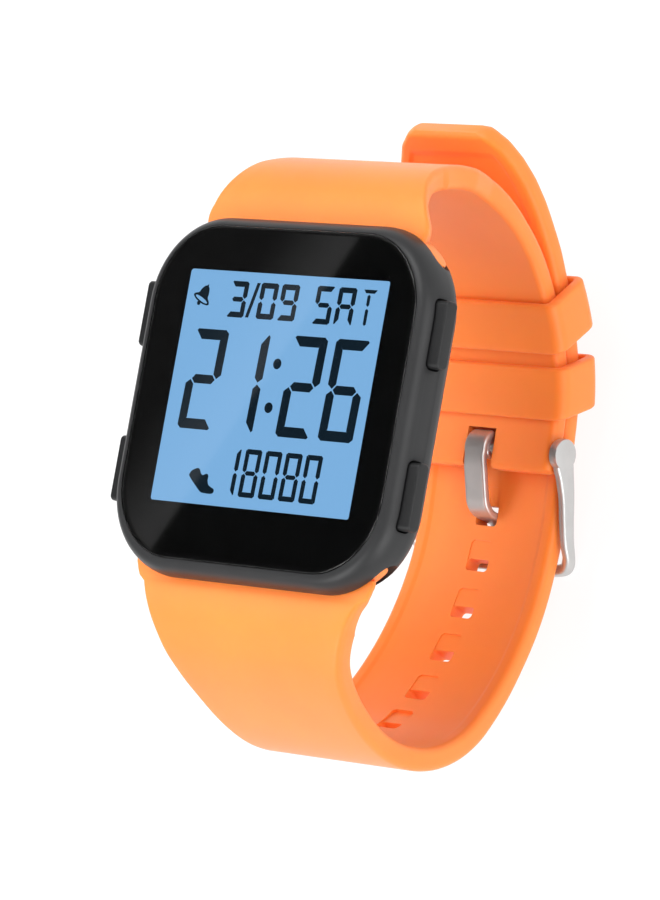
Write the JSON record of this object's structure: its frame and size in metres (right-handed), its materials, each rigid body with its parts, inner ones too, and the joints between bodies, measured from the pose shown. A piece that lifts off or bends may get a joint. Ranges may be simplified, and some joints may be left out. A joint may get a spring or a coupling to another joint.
{
  "type": "gps running watch",
  "caption": "GPS running watch with a rectangular case, digital display, side buttons and a soft strap closed by a pin buckle and keepers.",
  "frame": {"origin": "middle of the bounding box seen from above, at the height of the lowest point of the buckle", "axes": "+Z out of the dial, +Y towards 12 o'clock, +X towards 3 o'clock; the strap is closed in a loop below the case"},
  "size_m": [0.0476, 0.0764, 0.045],
  "materials": {
    "case": "matte, fine texture",
    "case_back": "matte",
    "button": "matte",
    "seal": "matte",
    "steel": "plain",
    "gold": "plated",
    "glass": "polished",
    "mask": "printed black",
    "lcd": "reflective display film",
    "guide": "clear",
    "white_plastic": "moulded",
    "zebra": "soft strip",
    "board": "solder mask",
    "chip": "moulded",
    "shield": "tinned",
    "antenna": "copper strip",
    "cell": "foil pouch",
    "brass": "disc",
    "switch": "moulded",
    "strap": "soft matte silicone",
    "buckle": "satin"
  },
  "bodies": {
    "watch": {"case_body": "case", "case_back": "case_back", "case_gasket": "seal", "case_screws": "steel", "charge_contacts": "gold", "lens": "glass", "lens_mask": "mask", "lcd_panel": "lcd", "light_guide": "guide", "lcd_frame": "white_plastic", "zebra_upper": "zebra", "zebra_lower": "zebra", "main_board": "board", "processor": "chip", "gps_module": "shield", "gps_antenna": "antenna", "battery": "cell", "buzzer": "brass", "strap_upper": "strap", "strap_lower": "strap", "strap_screws_upper": "steel", "strap_screws_lower": "steel", "buckle_bar": "steel", "switch_light": "switch", "switch_start": "switch", "switch_up": "switch", "switch_down": "switch", "oring_light": "seal", "oring_start": "seal", "oring_up": "seal", "oring_down": "seal"},
    "button_light": {"button_light": "button", "clip_light": "steel"},
    "button_start": {"button_start": "button", "clip_start": "steel"},
    "button_up": {"button_up": "button", "clip_up": "steel"},
    "button_down": {"button_down": "button", "clip_down": "steel"},
    "buckle": {"buckle_frame": "buckle"},
    "tongue": {"buckle_tongue": "buckle"},
    "keeper_1": {"keeper_1": "strap"},
    "keeper_2": {"keeper_2": "strap"}
  },
  "joints": [
    {"name": "light_press", "type": "slide", "parent": "watch", "child": "button_light", "axis": [1, 0, 0], "range_m": [0, 0.0005], "stiffness_N_per_m": 1500, "springref_m": -0.0003},
    {"name": "start_press", "type": "slide", "parent": "watch", "child": "button_start", "axis": [-1, 0, 0], "range_m": [0, 0.0005], "stiffness_N_per_m": 1500, "springref_m": -0.0003},
    {"name": "up_press", "type": "slide", "parent": "watch", "child": "button_up", "axis": [1, 0, 0], "range_m": [0, 0.0005], "stiffness_N_per_m": 1500, "springref_m": -0.0003},
    {"name": "down_press", "type": "slide", "parent": "watch", "child": "button_down", "axis": [-1, 0, 0], "range_m": [0, 0.0005], "stiffness_N_per_m": 1500, "springref_m": -0.0003},
    {"name": "buckle_hinge", "type": "hinge", "parent": "watch", "child": "buckle", "pos_m": [0, 0.00195, 0.00615], "axis": [1, 0, 0], "range_deg": [0, 3]},
    {"name": "tongue_hinge", "type": "hinge", "parent": "buckle", "child": "tongue", "pos_m": [0, 0.00195, 0.00615], "axis": [1, 0, 0], "range_deg": [0, 2]},
    {"name": "keeper_1_slide", "type": "hinge", "parent": "watch", "child": "keeper_1", "pos_m": [0, 0.00315, 0.0329], "axis": [1, 0, 0], "range_deg": [-3.5, 0]},
    {"name": "keeper_2_slide", "type": "hinge", "parent": "watch", "child": "keeper_2", "pos_m": [0, 0.00315, 0.0329], "axis": [1, 0, 0], "range_deg": [-3, 0]}
  ]
}
